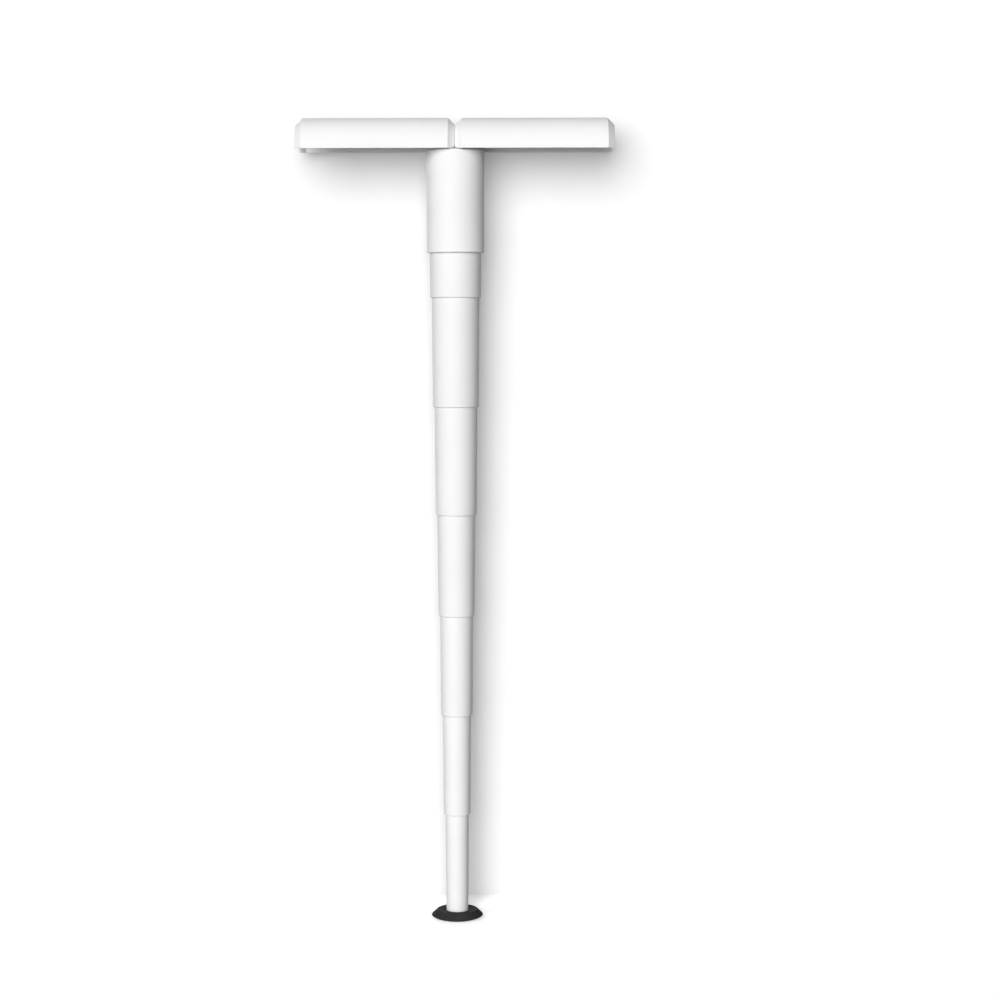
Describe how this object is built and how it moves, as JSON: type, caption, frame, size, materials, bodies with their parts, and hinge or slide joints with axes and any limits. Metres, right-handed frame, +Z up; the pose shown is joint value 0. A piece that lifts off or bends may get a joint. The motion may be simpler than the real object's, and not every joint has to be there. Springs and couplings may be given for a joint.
{
  "type": "telescopic stool",
  "caption": "Pocket stool: telescoping tube leg on a round rubber foot, with two half-round wings that hinge on a hub as the seat and fold down round the pushed-in leg as a closed can.",
  "frame": {"origin": "centre of the foot's flat patch, on the floor, under the leg's axis", "axes": "+Z up the leg, +X along the right wing, -Y towards the viewer"},
  "size_m": [0.3522, 0.071, 0.8951],
  "materials": {
    "white_shell": "fine matte moulded",
    "slip_ring": "smooth moulded",
    "foot_rubber": "moulded",
    "pin_steel": "turned"
  },
  "bodies": {
    "section_7": {"section_7": "white_shell", "section_7_ring": "slip_ring", "rubber_foot": "foot_rubber", "foot_plug": "white_shell", "foot_washer": "pin_steel", "foot_screw": "pin_steel"},
    "section_6": {"section_6": "white_shell", "section_6_ring": "slip_ring"},
    "section_5": {"section_5": "white_shell", "section_5_ring": "slip_ring"},
    "section_4": {"section_4": "white_shell", "section_4_ring": "slip_ring"},
    "section_3": {"section_3": "white_shell", "section_3_ring": "slip_ring"},
    "section_2": {"section_2": "white_shell", "section_2_ring": "slip_ring"},
    "section_1": {"section_1": "white_shell", "section_1_ring": "slip_ring"},
    "hub": {"hub": "white_shell", "sleeve": "white_shell", "left_hinge_pin": "pin_steel", "right_hinge_pin": "pin_steel"},
    "right_wing": {"right_wing": "white_shell"},
    "left_wing": {"left_wing": "white_shell"}
  },
  "joints": [
    {"name": "section_7_slide", "type": "slide", "parent": "section_7", "child": "section_6", "axis": [0, 0, -1], "range_m": [0, 0.1082]},
    {"name": "section_6_slide", "type": "slide", "parent": "section_6", "child": "section_5", "axis": [0, 0, -1], "range_m": [0, 0.1116]},
    {"name": "section_5_slide", "type": "slide", "parent": "section_5", "child": "section_4", "axis": [0, 0, -1], "range_m": [0, 0.1112]},
    {"name": "section_4_slide", "type": "slide", "parent": "section_4", "child": "section_3", "axis": [0, 0, -1], "range_m": [0, 0.1125]},
    {"name": "section_3_slide", "type": "slide", "parent": "section_3", "child": "section_2", "axis": [0, 0, -1], "range_m": [0, 0.1198]},
    {"name": "section_2_slide", "type": "slide", "parent": "section_2", "child": "section_1", "axis": [0, 0, -1], "range_m": [0, 0.0862]},
    {"name": "section_1_slide", "type": "slide", "parent": "section_1", "child": "hub", "axis": [0, 0, -1], "range_m": [0, 0.045]},
    {"name": "right_wing_hinge", "type": "hinge", "parent": "hub", "child": "right_wing", "pos_m": [0.00465, 0, 0.8641], "axis": [0, 1, 0], "range_deg": [0, 90]},
    {"name": "left_wing_hinge", "type": "hinge", "parent": "hub", "child": "left_wing", "pos_m": [-0.00465, 0, 0.8641], "axis": [0, -1, 0], "range_deg": [0, 90]}
  ]
}
